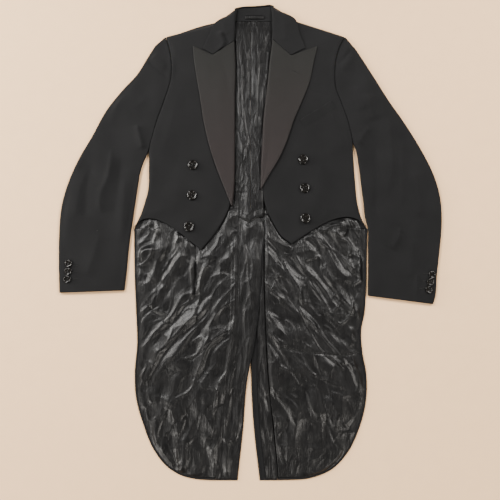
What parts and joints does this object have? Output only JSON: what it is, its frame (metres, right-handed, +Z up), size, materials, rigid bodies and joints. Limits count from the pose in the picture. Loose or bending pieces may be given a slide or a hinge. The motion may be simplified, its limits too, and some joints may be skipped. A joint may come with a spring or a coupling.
{
  "type": "white tie tailcoat",
  "caption": "Black evening tailcoat laid flat on its back: open fronts with peaked silk lapels, long sleeves and satin-lined tails spread below the waist.",
  "frame": {"origin": "centre of the coat's plan, on the surface it lies on", "axes": "+Z up from the surface, +Y from the tails to the collar, +X to the wearer's left"},
  "size_m": [0.8126, 1.022, 0.0142],
  "materials": {
    "wool": "black worsted wool barathea",
    "faille": "ribbed silk facing",
    "satin": "glossy satin lining",
    "horn_button": "polished black"
  },
  "bodies": {
    "root": {"back_left": "wool", "back_lining_left": "satin", "back_lining_right": "satin", "back_right": "wool", "breast_welt": "wool", "collar_back": "wool", "collar_left": "wool", "collar_right": "wool", "collar_stand": "wool", "cuff_button_left_1": "horn_button", "cuff_button_left_2": "horn_button", "cuff_button_left_3": "horn_button", "cuff_button_right_1": "horn_button", "cuff_button_right_2": "horn_button", "cuff_button_right_3": "horn_button", "forepart_left": "wool", "forepart_right": "wool", "front_button_left_1": "horn_button", "front_button_left_2": "horn_button", "front_button_left_3": "horn_button", "front_button_right_1": "horn_button", "front_button_right_2": "horn_button", "front_button_right_3": "horn_button", "hanger_loop": "satin", "lapel_left": "faille", "lapel_right": "faille", "side_body_left": "wool", "side_body_right": "wool", "strip_lining_left": "satin", "strip_lining_right": "satin", "tail_left": "wool", "tail_lining_left": "satin", "tail_lining_right": "satin", "tail_right": "wool", "top_sleeve_left": "wool", "top_sleeve_right": "wool", "under_sleeve_left": "wool", "under_sleeve_right": "wool"}
  },
  "joints": []
}
